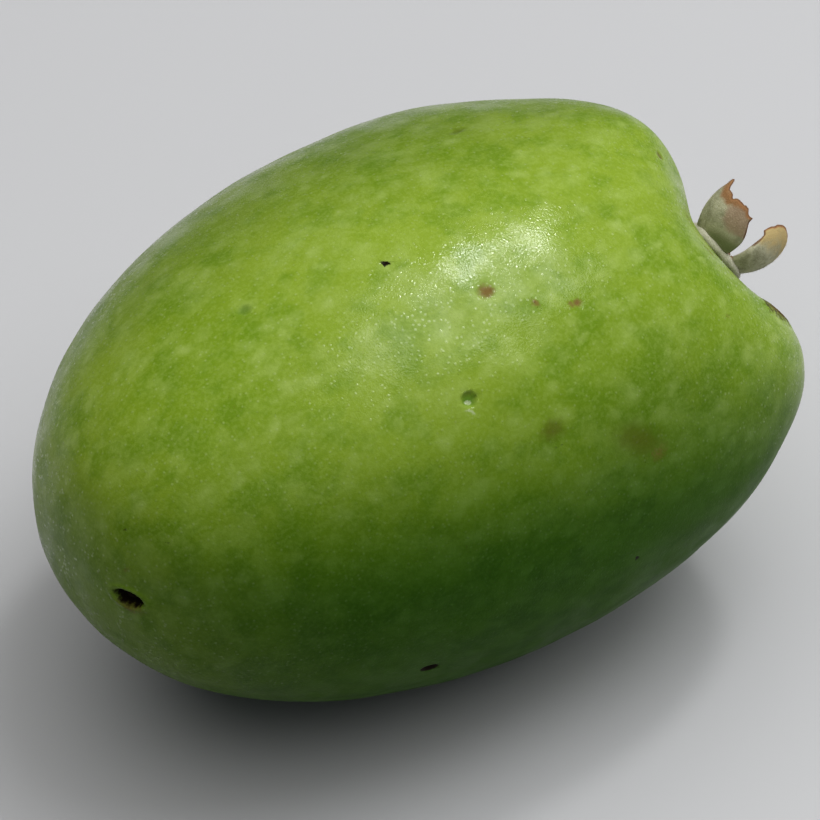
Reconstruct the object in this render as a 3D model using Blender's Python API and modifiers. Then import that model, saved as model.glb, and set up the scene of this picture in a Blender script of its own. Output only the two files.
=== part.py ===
"""Feijoa: an oblong green fruit lying on its side, with a dry four-sepalled calyx at one end.

Metres, +Z up. +X runs along the fruit towards the calyx, and the origin is under the middle of the
whole object, on the surface that it rests on. The sizes below are in millimetres and are turned into
metres where the points are made. A clock angle goes round the fruit, or round the calyx, from the top
(0 degrees) over the -Y side (90 degrees).
"""
import math

import bmesh
import bpy
import numpy as np
from mathutils import Matrix, Vector

MM = 0.001
NAME = "feijoa"

# Main form of the fruit: one long half towards the calyx and one towards the stem
CALYX_HALF = 35.27
STEM_HALF = 36.85
HALF_WIDTH = 26.4
HALF_HEIGHT = 23.37
CALYX_FULLNESS = (2.62, 1.89)
STEM_FULLNESS = (1.76, 2.255)
BOW = 4.18
BOW_CLOCK = 58.5

# Soft swells and hollows: place along the half (-1 stem, 1 calyx), clock angle, reach, height
SWELLS = [
    (0.94, 35.0, 7.5, -2.5),
    (0.86, 2.0, 9.0, 0.3),
    (0.86, 88.0, 9.0, 2.0),
    (0.84, 178.0, 9.0, 1.6),
    (0.84, 268.0, 9.0, 1.6),
    (0.74, 347.0, 9.0, 1.85),
    (0.38, 320.0, 11.0, 0.3),
    (-0.90, 225.0, 9.0, 0.8),
    (-0.20, 306.0, 14.0, -0.3),
    (0.35, 116.0, 14.0, 0.2),
    (0.55, 98.0, 9.0, 0.9),
    (0.05, 112.0, 12.0, 0.35),
    (0.80, 20.0, 7.0, -1.5),
    (0.97, 10.0, 6.0, -0.5),
]

# Calyx basin, four-lobed in plan, with a flat round seat in its middle
SEAT_AXIS = (0.843, -0.085, 0.531)
SEAT_POINT = (32.8, -3.5, 3.65)
BASIN_DEPTH = 3.96
BASIN_REACH = 11.9
BASIN_END = 12.0
BASIN_FOLD = 0.2
VALLEY_CLOCK = 48.0
SEAT_RADIUS = 3.7
SEAT_BLEND = 6.2
SEAT_EASE = 4.0

# Flat spot underneath, and where the fruit's own middle lies from the origin
FLAT_CUT = 22.82
MIDDLE = (-1.29, 0.20, FLAT_CUT)

# Round scar of the fallen stalk
SCAR_AT = -0.965
SCAR_CLOCK = 69.0
SCAR_RADIUS = 1.45
SCAR_DEPTH = 0.85

# Fruit mesh
AROUND = 84
ALONG = 54
CROWDING = 0.22

# Calyx: felted ring, dry disc and style stub
GAP = 0.3
RING_RADIUS = 3.35
RING_HEIGHT = 1.0
DISC_HEIGHT = 0.55
RING_EDGE = 0.25
RING_BULGE = 0.08
RING_CROWN = 0.45
RING_WALL = 0.95
RING_STEPS = 40
STUB_RADIUS = 0.45
STUB_TAPER = 0.6
STUB_ROOT = 0.25
STUB_HEIGHT = 2.4
SEPAL_ROOT = 0.55
SEPAL_THICKNESS = 0.65
SEPAL_ACROSS = 12
SEPAL_ALONG = 12

# Sepals: clock angle, root's distance from the axis, length, half width, lean at the root and at the
# tip (degrees outwards), how far the sides curl in (mm radius), how pointed and how torn the end is,
# where along the width its tip is, how far the end drops beside a piece that is torn off, and how far
# the blade twists by its end (degrees)
SEPALS = {
    "broad": dict(clock=13.5, away=2.7, length=6.4, half=2.93, root=48.0, tip=-12.0, curl=3.8,
                  point=0.0, torn=0.05, phase=2.1, skew=0.27, drop=0.2, drop_at=-0.92, twist=0.0),
    "lower": dict(clock=113.5, away=2.65, length=6.83, half=2.29, root=45.0, tip=-58.0, curl=3.82,
                  point=0.218, torn=0.06, phase=4.0, skew=0.03, drop=0.0, drop_at=0.0, twist=32.0),
    "worn": dict(clock=206.0, away=2.6, length=1.2, half=1.4, root=30.0, tip=20.0, curl=3.0,
                 point=0.25, torn=0.20, phase=5.2, skew=0.1, drop=0.0, drop_at=0.0, twist=0.0),
    "back": dict(clock=283.0, away=2.55, length=4.4, half=1.7, root=12.0, tip=-30.0, curl=3.0,
                 point=0.30, torn=0.14, phase=0.6, skew=0.1, drop=0.0, drop_at=0.0, twist=0.0),
}
LEAN_LATE = 1.2
BLADE_STEPS = 24
POINT_POWER = 2.2
DROP_WIDTH = 0.35
TEETH = (7.0, 13.0)
SMALL_TEETH = 0.6
ROOT_WIDTH = 0.8
WIDEST_AT = 0.435


def smooth_step(t):
    """Goes from 0 to 1 without a corner at either end."""
    t = np.clip(t, 0.0, 1.0)
    return t * t * (3.0 - 2.0 * t)


def girth(along):
    """Share of the full half width at a place along the fruit."""
    power = np.where(along > 0, CALYX_FULLNESS[0], STEM_FULLNESS[0])
    root = np.where(along > 0, CALYX_FULLNESS[1], STEM_FULLNESS[1])
    return np.clip(1.0 - np.abs(along) ** power, 0.0, None) ** (1.0 / root)


def bowed_egg(along, clock):
    """Plain oblong form, both ends drawn a little towards the bow's clock angle."""
    wide = girth(along)
    x = np.where(along > 0, CALYX_HALF, STEM_HALF) * along
    lift = BOW * along ** 2
    bow = math.radians(BOW_CLOCK)
    y = -np.sin(clock) * wide * HALF_WIDTH - math.sin(bow) * lift
    z = np.cos(clock) * wide * HALF_HEIGHT + math.cos(bow) * lift
    return np.stack([x, y, z], axis=-1)


def seat_frame():
    """Outward direction of the calyx, its own top and its own -Y side."""
    out = np.array(SEAT_AXIS) / np.linalg.norm(SEAT_AXIS)
    top = np.array([0.0, 0.0, 1.0]) - out * out[2]
    top /= np.linalg.norm(top)
    side = np.cross(top, out)
    return out, top, -side if side[1] > 0 else side


def add_swells(points):
    """Pushes the skin out or in by each soft swell."""
    outward = points * np.array([(HALF_WIDTH / CALYX_HALF) ** 2, 1.0, 1.0])
    outward /= np.linalg.norm(outward, axis=-1, keepdims=True) + 1e-9
    rise = np.zeros(points.shape[:-1])
    for along, clock, reach, height in SWELLS:
        middle = bowed_egg(np.array(along), np.array(math.radians(clock)))
        away = ((points - middle) ** 2).sum(axis=-1)
        rise = rise + height * np.exp(-away / reach ** 2)
    return points + outward * rise[..., None]


def sink_basin(points):
    """Four-lobed basin at the calyx end, with its flat seat."""
    out, top, side = seat_frame()
    from_seat = points - np.array(SEAT_POINT)
    up = from_seat @ top
    across = from_seat @ side
    away = np.hypot(up, across)
    from_valley = np.arctan2(across, up) - math.radians(VALLEY_CLOCK)
    reach = BASIN_REACH * (1.0 + BASIN_FOLD * np.cos(4.0 * from_valley))
    blend = SEAT_BLEND + SEAT_EASE * (0.5 - 0.5 * np.cos(from_valley))
    near_end = smooth_step(1.0 + (from_seat @ out + BASIN_END) / BASIN_END)
    sunk = points - out * (BASIN_DEPTH * np.exp(-(away / reach) ** 2) * near_end)[..., None]
    share = smooth_step((blend - away) / (blend - SEAT_RADIUS)) * near_end
    level = (sunk - np.array(SEAT_POINT)) @ out
    return sunk + out * (share * -level)[..., None]


def skin(along, clock):
    """Point on the fruit in metres, for a place along it and a clock angle in radians."""
    points = sink_basin(add_swells(bowed_egg(along, clock)))
    return (points + np.array(MIDDLE)) * MM


def seat_middle():
    """Middle of the flat seat in millimetres."""
    return np.array(SEAT_POINT) + np.array(MIDDLE)


def plain_material(name, colour, roughness):
    """Non-metal surface of one colour."""
    material = bpy.data.materials.new(name)
    material.use_nodes = True
    shader = material.node_tree.nodes["Principled BSDF"]
    shader.inputs["Base Color"].default_value = (*colour, 1.0)
    shader.inputs["Roughness"].default_value = roughness
    shader.inputs["Metallic"].default_value = 0.0
    material.diffuse_color = (*colour, 1.0)
    return material


def new_object(name, bm, collection, material=None):
    """Object made of a finished bmesh, smooth and facing outwards."""
    bmesh.ops.recalc_face_normals(bm, faces=bm.faces)
    mesh = bpy.data.meshes.new(name)
    bm.to_mesh(mesh)
    bm.free()
    mesh.shade_smooth()
    if material:
        mesh.materials.append(material)
    obj = bpy.data.objects.new(name, mesh)
    collection.objects.link(obj)
    return obj


def new_collection(name):
    """Collection in the scene."""
    collection = bpy.data.collections.new(name)
    bpy.context.scene.collection.children.link(collection)
    return collection


def make_fruit(collection, material):
    """Body from a sphere whose poles are the stem end and the calyx end, cut flat underneath."""
    bm = bmesh.new()
    bmesh.ops.create_uvsphere(bm, u_segments=AROUND, v_segments=ALONG, radius=1.0)
    for vert in bm.verts:
        turn = math.acos(max(-1.0, min(1.0, vert.co.z)))
        along = np.array(math.cos(turn - CROWDING * math.sin(turn)))
        clock = np.array(math.atan2(vert.co.y, vert.co.x))
        vert.co = Vector(skin(along, clock))
    everything = bm.verts[:] + bm.edges[:] + bm.faces[:]
    bmesh.ops.bisect_plane(bm, geom=everything, dist=1e-7, plane_co=(0, 0, 0), plane_no=(0, 0, 1),
                           clear_inner=True)
    rim = [edge for edge in bm.edges if edge.is_boundary]
    bmesh.ops.contextual_create(bm, geom=rim)
    return new_object("fruit", bm, collection, material)


def cut_scar(fruit, cutters):
    """Shallow round pit where the stalk was."""
    clock = np.array(math.radians(SCAR_CLOCK))
    middle = skin(np.array(SCAR_AT), clock)
    step = 0.01
    lengthwise = skin(np.array(SCAR_AT + step), clock) - skin(np.array(SCAR_AT - step), clock)
    crosswise = skin(np.array(SCAR_AT), clock + 0.1) - skin(np.array(SCAR_AT), clock - 0.1)
    inward = Vector(np.cross(lengthwise, crosswise)).normalized()
    if inward.x < 0:
        inward = -inward
    bm = bmesh.new()
    bmesh.ops.create_uvsphere(bm, u_segments=24, v_segments=12, radius=1.0)
    bmesh.ops.scale(bm, vec=(SCAR_RADIUS * MM, SCAR_RADIUS * MM, SCAR_DEPTH * MM), verts=bm.verts)
    cutter = new_object("scar_cutter", bm, cutters)
    cutter.location = Vector(middle)
    cutter.rotation_euler = inward.to_track_quat("Z", "Y").to_euler()
    cutter.hide_render = True
    cutter.display_type = "WIRE"
    pit = fruit.modifiers.new("stem scar", "BOOLEAN")
    pit.operation = "DIFFERENCE"
    pit.object = cutter


def in_calyx(height, away, clock):
    """Point in millimetres from the height over the seat, the distance from its axis and the clock."""
    out, top, side = seat_frame()
    spoke = math.cos(clock) * top + math.sin(clock) * side
    return Vector(seat_middle() + out * height + spoke * away)


def make_ring(collection, material):
    """Low felted ring with the dry disc inside it: a turned profile."""
    crown = RING_RADIUS - RING_CROWN
    profile = [
        (0.0, GAP),
        (RING_RADIUS - RING_EDGE, GAP),
        (RING_RADIUS, GAP + RING_EDGE),
        (RING_RADIUS + RING_BULGE, GAP + 0.6 * RING_HEIGHT),
        (RING_RADIUS - RING_BULGE, GAP + 0.85 * RING_HEIGHT),
        (crown, GAP + RING_HEIGHT),
        (crown - RING_CROWN + RING_BULGE, GAP + 0.85 * RING_HEIGHT),
        (RING_RADIUS - RING_WALL, GAP + DISC_HEIGHT),
        (0.0, GAP + DISC_HEIGHT),
    ]
    bm = bmesh.new()
    verts = [bm.verts.new(in_calyx(height, away, 0.0)) for away, height in profile]
    edges = [bm.edges.new(pair) for pair in zip(verts, verts[1:])]
    bmesh.ops.spin(bm, geom=verts + edges, cent=Vector(seat_middle()), axis=Vector(seat_frame()[0]),
                   angle=math.tau, steps=RING_STEPS, use_merge=True)
    bmesh.ops.remove_doubles(bm, verts=bm.verts, dist=0.001)
    return new_object("calyx", bm, collection, material)


def make_stub(collection):
    """Withered style stub in the middle of the disc."""
    bm = bmesh.new()
    bmesh.ops.create_cone(bm, cap_ends=True, segments=10, radius1=STUB_RADIUS,
                          radius2=STUB_TAPER * STUB_RADIUS, depth=STUB_HEIGHT)
    stub = new_object("stub", bm, collection)
    out = Vector(seat_frame()[0])
    stub.rotation_euler = out.to_track_quat("Z", "Y").to_euler()
    stub.location = Vector(seat_middle()) + out * (GAP + STUB_ROOT + STUB_HEIGHT / 2)


def leaning(sepal, part):
    """Outward lean in radians after a share of the sepal's length."""
    return math.radians(sepal["root"] + (sepal["tip"] - sepal["root"]) * part ** LEAN_LATE)


def sepal_point(sepal, across, along):
    """Point on a sepal's middle surface: across -1 to 1, along 0 at the root to 1 at the end."""
    taper = 1.0 - sepal["point"] * abs(across - sepal["skew"]) ** POINT_POWER
    taper -= sepal["drop"] * float(smooth_step((across - sepal["drop_at"]) / DROP_WIDTH))
    ragged = math.sin(TEETH[0] * across + sepal["phase"])
    ragged += SMALL_TEETH * math.sin(TEETH[1] * across + 2.0 * sepal["phase"])
    reach = sepal["length"] * along * (taper - sepal["torn"] * max(0.0, ragged) * along)
    height = GAP + SEPAL_ROOT
    away = sepal["away"]
    for i in range(BLADE_STEPS):
        part = (i + 0.5) / BLADE_STEPS * reach / sepal["length"]
        lean = leaning(sepal, part)
        height += math.cos(lean) * reach / BLADE_STEPS
        away += math.sin(lean) * reach / BLADE_STEPS
    lean = leaning(sepal, reach / sepal["length"])
    swell = math.sin(0.5 * math.pi * min(2.0, along / WIDEST_AT))
    belly = ROOT_WIDTH + (1.0 - ROOT_WIDTH) * swell
    sideways = sepal["half"] * across * belly
    turn = sideways / sepal["curl"]
    inward = sepal["curl"] * (1.0 - math.cos(turn))
    out, top, side = seat_frame()
    clock = math.radians(sepal["clock"])
    spoke = math.cos(clock) * top + math.sin(clock) * side
    sidewise = -math.sin(clock) * top + math.cos(clock) * side
    face = math.cos(lean) * spoke - math.sin(lean) * out
    twist = math.radians(sepal["twist"]) * (reach / sepal["length"]) ** 2
    twisted = math.cos(twist) * sidewise + math.sin(twist) * face
    face = math.cos(twist) * face - math.sin(twist) * sidewise
    place = out * height + spoke * away + twisted * (sepal["curl"] * math.sin(turn)) - face * inward
    return Vector(seat_middle() + place)


def make_sepal(name, sepal, collection):
    """Curved blade with a torn end, thickened from its middle surface."""
    bm = bmesh.new()
    bmesh.ops.create_grid(bm, x_segments=SEPAL_ACROSS, y_segments=SEPAL_ALONG, size=1.0)
    for vert in bm.verts:
        vert.co = sepal_point(sepal, vert.co.x, 0.5 + 0.5 * vert.co.y)
    blade = new_object("sepal_" + name, bm, collection)
    shell = blade.modifiers.new("thickness", "SOLIDIFY")
    shell.thickness = SEPAL_THICKNESS
    shell.offset = 0.0


def fuse(main, operands):
    """One closed body of the main object and the collection's objects, in metres; these are removed."""
    union = main.modifiers.new("fuse", "BOOLEAN")
    union.operation = "UNION"
    union.solver = "MANIFOLD"
    union.operand_type = "COLLECTION"
    union.collection = operands
    depsgraph = bpy.context.evaluated_depsgraph_get()
    fused = bpy.data.meshes.new_from_object(main.evaluated_get(depsgraph))
    fused.transform(Matrix.Scale(MM, 4))
    main.modifiers.clear()
    main.data = fused
    for operand in list(operands.objects):
        bpy.data.objects.remove(operand)
    bpy.data.collections.remove(operands)


def main():
    for old in list(bpy.data.objects):
        bpy.data.objects.remove(old)
    parts = new_collection(NAME)
    cutters = new_collection("cutters")
    skin_material = plain_material("skin", (0.22, 0.38, 0.05), 0.45)
    calyx_material = plain_material("calyx", (0.30, 0.27, 0.17), 0.85)

    fruit = make_fruit(parts, skin_material)
    cut_scar(fruit, cutters)

    calyx = make_ring(parts, calyx_material)
    blades = new_collection("calyx pieces")
    make_stub(blades)
    for name, sepal in SEPALS.items():
        make_sepal(name, sepal, blades)
    fuse(calyx, blades)


main()
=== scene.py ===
"""Feijoa lying on its side: the looks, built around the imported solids.

Metres, +Z up. +X runs along the fruit towards the calyx. The sizes below are in millimetres and are
turned into metres where meshes are made. A clock angle goes round the fruit, or round the calyx, from
the top (0 degrees) over the -Y side (90 degrees).
"""
import math

import bmesh
import bpy
import numpy as np
from mathutils import Matrix, Vector, noise


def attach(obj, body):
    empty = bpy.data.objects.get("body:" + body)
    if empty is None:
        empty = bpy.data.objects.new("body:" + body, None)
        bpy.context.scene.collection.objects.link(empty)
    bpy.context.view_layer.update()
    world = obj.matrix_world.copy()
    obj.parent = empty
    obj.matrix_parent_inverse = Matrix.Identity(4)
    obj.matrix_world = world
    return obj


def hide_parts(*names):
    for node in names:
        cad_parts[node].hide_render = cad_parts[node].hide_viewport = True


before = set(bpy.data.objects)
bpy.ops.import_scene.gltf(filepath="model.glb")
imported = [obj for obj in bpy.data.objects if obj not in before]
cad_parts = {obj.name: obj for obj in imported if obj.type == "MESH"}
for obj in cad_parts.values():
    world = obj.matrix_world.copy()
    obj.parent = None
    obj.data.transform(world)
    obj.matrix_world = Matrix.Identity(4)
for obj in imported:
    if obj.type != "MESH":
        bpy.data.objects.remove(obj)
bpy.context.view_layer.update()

MM = 0.001

# Main form of the fruit: one long half towards the calyx and one towards the stem
CALYX_HALF = 35.27
STEM_HALF = 36.85
HALF_WIDTH = 26.4
HALF_HEIGHT = 23.37
CALYX_FULLNESS = (2.62, 1.89)
STEM_FULLNESS = (1.76, 2.255)
BOW = 4.18
BOW_CLOCK = 58.5

# Soft swells and hollows: place along the half (-1 stem, 1 calyx), clock angle, reach, height
SWELLS = [
    (0.94, 35.0, 7.5, -2.5),
    (0.86, 2.0, 9.0, 0.3),
    (0.86, 88.0, 9.0, 2.0),
    (0.84, 178.0, 9.0, 1.6),
    (0.84, 268.0, 9.0, 1.6),
    (0.74, 347.0, 9.0, 1.85),
    (0.38, 320.0, 11.0, 0.3),
    (-0.90, 225.0, 9.0, 0.8),
    (-0.20, 306.0, 14.0, -0.3),
    (0.35, 116.0, 14.0, 0.2),
    (0.55, 98.0, 9.0, 0.9),
    (0.05, 112.0, 12.0, 0.35),
    (0.80, 20.0, 7.0, -1.5),
    (0.97, 10.0, 6.0, -0.5),
]

# Calyx basin, four-lobed in plan, with a flat round seat in its middle
SEAT_AXIS = (0.843, -0.085, 0.531)
SEAT_POINT = (32.8, -3.5, 3.65)
BASIN_DEPTH = 3.96
BASIN_REACH = 11.9
BASIN_END = 12.0
BASIN_FOLD = 0.2
VALLEY_CLOCK = 48.0
SEAT_RADIUS = 3.7
SEAT_BLEND = 6.2
SEAT_EASE = 4.0
MIDDLE = (-1.29, 0.20, 22.82)

# Fruit mesh
AROUND = 320
ALONG = 190
CROWDING = 0.22

# Calyx ring; lumps as height, count and phase
GAP = 0.3
RING_RADIUS = 3.35
RING_HEIGHT = 1.0
RING_INSET = 0.45
RING_THICK = 0.5
RING_LUMPS = ((0.05, 5, 1.0), (0.04, 11, 2.0))
RING_LOW_SIDE = 0.4
RING_STEPS = 160
RING_TURNS = 28

# Disc inside the ring; folds as height, count and slant
DISC_HEIGHT = 0.55
DISC_INSET = 0.6
DISC_SAG = 0.08
DISC_RISE = 0.14
DISC_FOLDS = (0.08, 9, 6)
DISC_HOLE = 0.04
DISC_FOOT = 0.05
DISC_ROWS = 26
DISC_STEPS = 96

# Style stub; ribs as depth, count and slant, flare as share and reach, frays as share and count
STUB_RADIUS = 0.45
STUB_HEIGHT = 2.4
STUB_ROOT = 0.25
STUB_TAPER = 0.35
STUB_RIBS = (0.10, 5, 4)
STUB_FLARE = (0.25, 0.12)
STUB_FRAYS = (0.06, 3)
STUB_BEND = 0.25
STUB_ROWS = 20
STUB_STEPS = 20

# Sepals: widths in millimetres, angles in degrees, the rest shares of the width or the length.
# The calm corner, with fewer frays, has a start, a width and a share.
SEPAL_ROOT = 0.55
LEAN_LATE = 1.2
BLADE_STEPS = 24
POINT_POWER = 2.2
DROP_WIDTH = 0.35
CORNER_DROP = 0.06
CORNER_START = 0.75
CALM_CORNER = (0.6, 0.3, 0.8)
TEETH = (7.0, 13.0)
SMALL_TEETH = 0.6
TEETH_SOFT = 0.3
FRAY_COUNT = 5.0
ROOT_WIDTH = 0.8
WIDEST_AT = 0.435
RIM_WIDTH = 0.36
THIN_SIDE = 0.12
THIN_END = 0.08
END_HALF = 0.10
ROOT_HALF = 0.20
RIM_SHARE = 0.35
SEPAL_STEPS = 61
SEPALS = {
    "broad": dict(clock=13.5, away=2.7, length=6.4, half=2.93, root=48.0, tip=-12.0, curl=3.8,
                  point=0.0, torn=0.04, phase=2.1, skew=0.27, drop=0.2, drop_at=-0.92, twist=0.0,
                  frays=0.40, torn_reach=(2.2, 0.6), flush=1.0, ochre=0.0, root_shade=1.0),
    "lower": dict(clock=113.5, away=2.65, length=6.95, half=2.90, root=45.0, tip=-58.0, curl=3.82,
                  point=0.20, torn=0.015, phase=4.0, skew=-0.06, drop=0.0, drop_at=0.0, twist=32.0,
                  frays=0.06, torn_reach=(0.5, 0.35), flush=0.0, ochre=0.8, root_shade=0.0),
    "worn": dict(clock=206.0, away=2.6, length=1.2, half=1.4, root=30.0, tip=20.0, curl=3.0,
                 point=0.25, torn=0.20, phase=5.2, skew=0.1, drop=0.0, drop_at=0.0, twist=0.0,
                 frays=0.8, torn_reach=(0.6, 0.6), flush=0.5, ochre=0.0, root_shade=1.0),
    "back": dict(clock=283.0, away=2.55, length=4.4, half=1.7, root=12.0, tip=-30.0, curl=3.0,
                 point=0.30, torn=0.14, phase=0.6, skew=0.1, drop=0.0, drop_at=0.0, twist=0.0,
                 frays=0.7, torn_reach=(0.9, 0.7), flush=0.6, ochre=0.3, root_shade=1.0),
}

# Marks on the skin: place along the half, clock angle, half length and half width (mm), turn of the
# long side from the fruit's length (degrees), depth (mm, negative stands up), and the share of each
# tint: rust, blackish, olive bruise, dark green. The blackish tint in the stem scar's pit and the dark
# green in the crater's hollow are painted shade
MARKS = {
    # The stem scar's blackish tint is painted shade in its pit, laid over its own brown tissue
    "stem_scar": (-0.970, 76.3, 1.60, 0.78, 10.0, 0.95, 1.0, 1.0, 0.0, 0.0),
    "scar_lip": (-0.969, 81.0, 1.90, 1.20, 10.0, 0.0, 0.55, 0.0, 0.6, 0.0),
    "rough_spot": (-0.007, 27.1, 1.05, 0.98, 0.0, 0.05, 1.0, 0.0, 0.0, 0.4),
    "pin_hole": (-0.165, 12.7, 0.40, 0.22, 42.0, 0.35, 0.1, 1.0, 0.0, 0.0),
    # The crater's dark green is painted shade in its hollow
    "crater": (-0.178, 44.6, 0.80, 0.72, 0.0, 0.34, 0.0, 0.0, 0.0, 0.85),
    "brown_fleck": (0.190, 36.7, 0.75, 0.50, 0.0, 0.03, 1.0, 0.0, 0.0, 0.0),
    "brown_smear": (0.172, 36.4, 0.70, 0.36, 60.0, 0.0, 0.75, 0.0, 0.0, 0.0),
    "pale_fleck": (0.090, 33.4, 0.62, 0.32, 70.0, 0.0, 0.95, 0.0, 0.1, 0.0),
    "top_fleck": (0.189, 351.6, 0.30, 0.24, 0.0, 0.0, 0.75, 0.0, 0.0, 0.0),
    "olive_streak": (0.277, 346.8, 1.1, 0.6, -8.0, 0.12, 0.15, 0.0, 0.6, 0.3),
    "green_dimple": (-0.490, 3.1, 0.8, 0.65, 0.0, 0.14, 0.0, 0.0, 0.15, 0.55),
    "shoulder_spot": (0.716, 5.8, 0.65, 0.5, -82.0, 0.06, 0.45, 0.0, 0.9, 0.0),
    "low_slit": (-0.381, 109.9, 0.95, 0.50, 2.0, 0.30, 0.1, 0.95, 0.0, 0.0),
    "side_slit": (0.433, 113.4, 1.1, 0.40, 46.0, 0.2, 0.1, 0.9, 0.0, 0.0),
    "low_dot": (0.161, 95.5, 0.28, 0.24, 0.0, 0.08, 0.0, 0.8, 0.0, 0.0),
    "middle_dot": (0.178, 80.4, 0.22, 0.2, 0.0, 0.0, 0.5, 0.0, 0.0, 0.0),
    "bruise": (0.202, 67.2, 3.4, 1.7, 38.0, 0.0, 0.0, 0.0, 0.85, 0.3),
    "bruise_end": (0.250, 72.0, 1.3, 0.9, 0.0, 0.0, 0.45, 0.0, 0.4, 0.0),
    "olive_blotch": (-0.018, 57.1, 1.6, 1.1, 0.0, 0.0, 0.15, 0.0, 0.85, 0.2),
    "left_speck": (-0.637, 21.8, 0.32, 0.2, 40.0, 0.0, 0.55, 0.0, 0.0, 0.0),
    "stem_smudge": (-0.960, 53.3, 0.7, 0.30, -2.0, 0.0, 0.30, 0.0, 0.4, 0.0),
    "stem_dot": (-0.936, 32.6, 0.16, 0.14, 0.0, 0.0, 0.2, 0.3, 0.0, 0.0),
    "scratch": (-0.883, 45.8, 0.4, 0.1, 4.0, 0.0, 0.0, 0.30, 0.0, 0.0),
    "sheen_dot": (0.081, 17.3, 0.18, 0.16, 0.0, 0.05, 0.0, 0.9, 0.0, 0.0),
    "basin_smear": (0.715, 26.0, 1.2, 0.6, 80.0, 0.05, 0.30, 0.0, 0.3, 0.0),
    "seat_line": (0.700, 36.0, 1.5, 0.35, 60.0, 0.04, 0.5, 0.0, 0.1, 0.0),
    "brown_dot": (0.600, 52.6, 0.35, 0.25, 20.0, 0.0, 0.35, 0.0, 0.2, 0.0),
    "pale_dot": (-0.225, 47.5, 0.25, 0.20, 0.0, 0.0, 0.25, 0.0, 0.2, 0.0),
    "upper_dot": (0.029, 11.5, 0.20, 0.16, 0.0, 0.04, 0.1, 0.4, 0.0, 0.0),
    "scab": (0.846, 63.8, 3.0, 1.8, 40.0, -0.12, 1.0, 0.40, 0.0, 0.0),
    "far_scab": (0.30, 250.0, 1.3, 0.7, 30.0, -0.10, 0.6, 0.3, 0.0, 0.0),
    "far_fleck": (-0.45, 268.0, 0.5, 0.3, 0.0, 0.0, 0.6, 0.0, 0.0, 0.0),
    "under_slit": (-0.15, 222.0, 0.9, 0.25, 25.0, 0.2, 0.1, 0.8, 0.0, 0.0),
    "far_bruise": (0.05, 292.0, 2.6, 1.5, 30.0, 0.0, 0.0, 0.0, 0.45, 0.1),
}
TINTS = ("rust", "blackish_and_shade", "olive", "dark_green_and_shade")
TINT_EDGE = 1.15
TINT_FRAY = 0.22
TINT_FRAY_SIZE = 0.5
TINT_SOFT = {"rust": 1.0, "blackish_and_shade": 0.45, "olive": 1.0, "dark_green_and_shade": 1.0}

# Relief of the marks: an edge as its start and width in shares of their radius, heights in
# millimetres, the scar's raised lip as height, place and width
CRUMPLE = 0.12
CRUMPLE_SIZE = 0.35
BOWLED = ("rough_spot", "crater", "scab", "far_scab")
BOWL_EDGE = (1.1, 0.6)
BOWL_GRAIN = 0.05
BOWL_GRAIN_SIZE = 0.22
DIP_EDGE = (1.1, 0.9)
WELL_EDGE = (1.05, 0.35)
BUTTON_EDGE = (0.45, 0.25)
BUTTON_SHARE = 0.45
LIP = (0.10, 1.25, 0.25)
FINE_ZONE = 1.7
FINE_CUTS = 2

# Painted glints, pale flecks on the crater's lower side: place along, clock angle, half length, half width,
# turn
CRATER_GLINT_MARKS = [
    (-0.1820, 45.1, 0.36, 0.27, 20.0),
    (-0.1880, 46.9, 0.34, 0.20, 60.0),
]
CRATER_GLINT_EDGE = (1.2, 0.6)

# Soft dents that break up the sheen: place along, clock angle, radius, depth
DENTS = [
    (-0.020, 20.4, 1.3, 0.07),
    (0.074, 27.8, 2.2, 0.06),
    (-0.151, 29.3, 2.2, 0.10),
    (0.014, 38.5, 2.0, 0.10),
    (-0.10, 22.0, 1.5, 0.08),
    (-0.30, 33.0, 2.6, 0.08),
    (0.16, 47.0, 2.8, 0.10),
]
WAVE_SIZE = 8.0
WAVE_HEIGHT = 0.10
RIPPLE_SIZE = 4.2
RIPPLE_HEIGHT = 0.075
FLAT_FOOT = 4.0
BLOOM_REACH = 3.6

# Painted shade: the skin is darkened on the near lower side, less so towards both ends
SHADE_SIDE = (-0.40, -0.58, -0.72)
SHADE_START = -0.30
SHADE_BLEND = 0.85
SHADE_ENDS = 0.50

# Painted shade: the skin is slightly darkened on the far upper side
FAR_SHADE_SIDE = (0.30, 0.80, 0.50)
FAR_SHADE_START = 0.30
FAR_SHADE_BLEND = 0.60

# Colours of the skin: its two plain greens, its patches from large to tiny, the painted shade and painted
# glints, and what marks it
SKIN_GREENS = ((0.158, 0.243, 0.015), (0.196, 0.278, 0.026))
DARK_PATCH = (0.100, 0.188, 0.005)
PALE_STREAK = (0.265, 0.350, 0.078)
PALE_BLOB = (0.285, 0.368, 0.100)
PORE = (0.34, 0.42, 0.16)
SPECK = (0.320, 0.410, 0.110)
SHOULDER_LINE = (0.300, 0.370, 0.110)
# Painted shade, multiplied in on the near lower side and then on the far side
SHADED = (0.14, 0.30, 0.10)
FAR_SHADE = (0.66, 0.67, 0.80)
BLOOM = (0.240, 0.270, 0.110)
# Painted glints in the crater
CRATER_GLINT = (0.36, 0.41, 0.26)
# Each tint's colour, its share, and from where to where its frayed edge rises
TINT_LOOKS = {
    # Dark green: the skin's own darker green around marks and bruises, and painted shade in the crater
    "dark_green_and_shade": ((0.040, 0.120, 0.004), 0.85, None),
    "olive": ((0.080, 0.090, 0.008), 0.75, None),
    "rust": ((0.165, 0.098, 0.040), 0.90, (0.05, 1.10)),
    # Blackish: the small holes, slits and specks, and painted shade in the stem scar
    "blackish_and_shade": ((0.014, 0.009, 0.004), 1.0, (0.10, 0.70)),
}

PALE_ZONES = dict(root_shade_zone=(0.3, 0.3, 0.2), flush_zone=(0.5, 0.4, 0.3), ochre_zone=(0.5, 0.4, 0.2))
BROWN_ZONES = dict.fromkeys(("root_shade_zone", "flush_zone", "ochre_zone", "torn_zone"), (0.1, 0.06, 0.03))

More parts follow.
